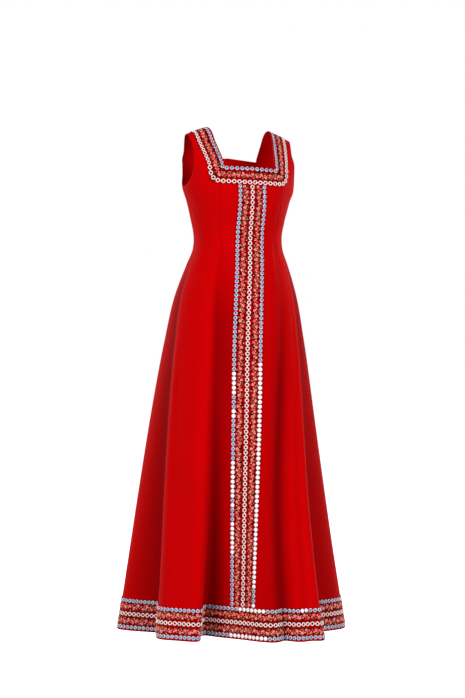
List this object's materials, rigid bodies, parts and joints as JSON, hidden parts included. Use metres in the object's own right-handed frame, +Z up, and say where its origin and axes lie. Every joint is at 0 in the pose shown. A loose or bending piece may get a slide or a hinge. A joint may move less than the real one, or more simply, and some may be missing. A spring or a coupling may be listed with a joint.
{
  "type": "sarafan dress",
  "caption": "Long sleeveless folk dress with wide straps, a square neck and a fluted skirt, trimmed with patterned ribbon at the neck, front and hem.",
  "frame": {"origin": "under the shoulders, midway between the two straps, where the wearer's shoulders hold the dress up", "axes": "+Z up along the body, -Y towards the front of the dress, +X towards the viewer's right when looking at the front"},
  "size_m": [0.5796, 0.5821, 1.3038],
  "materials": {
    "red_cloth": "matt plain-woven red cloth with a very soft sheen",
    "ribbon": "dark red ribbon with coral flowers, white rings and blue beads"
  },
  "bodies": {
    "root": {"front_centre": "red_cloth", "front_side_left": "red_cloth", "front_side_right": "red_cloth", "back_side_left": "red_cloth", "back_side_right": "red_cloth", "back_centre_left": "red_cloth", "back_centre_right": "red_cloth", "neck_band_front": "ribbon", "neck_band_left": "ribbon", "neck_band_right": "ribbon", "neck_band_back": "ribbon", "front_band": "ribbon", "hem_band_front": "ribbon", "hem_band_back": "ribbon"}
  },
  "joints": []
}
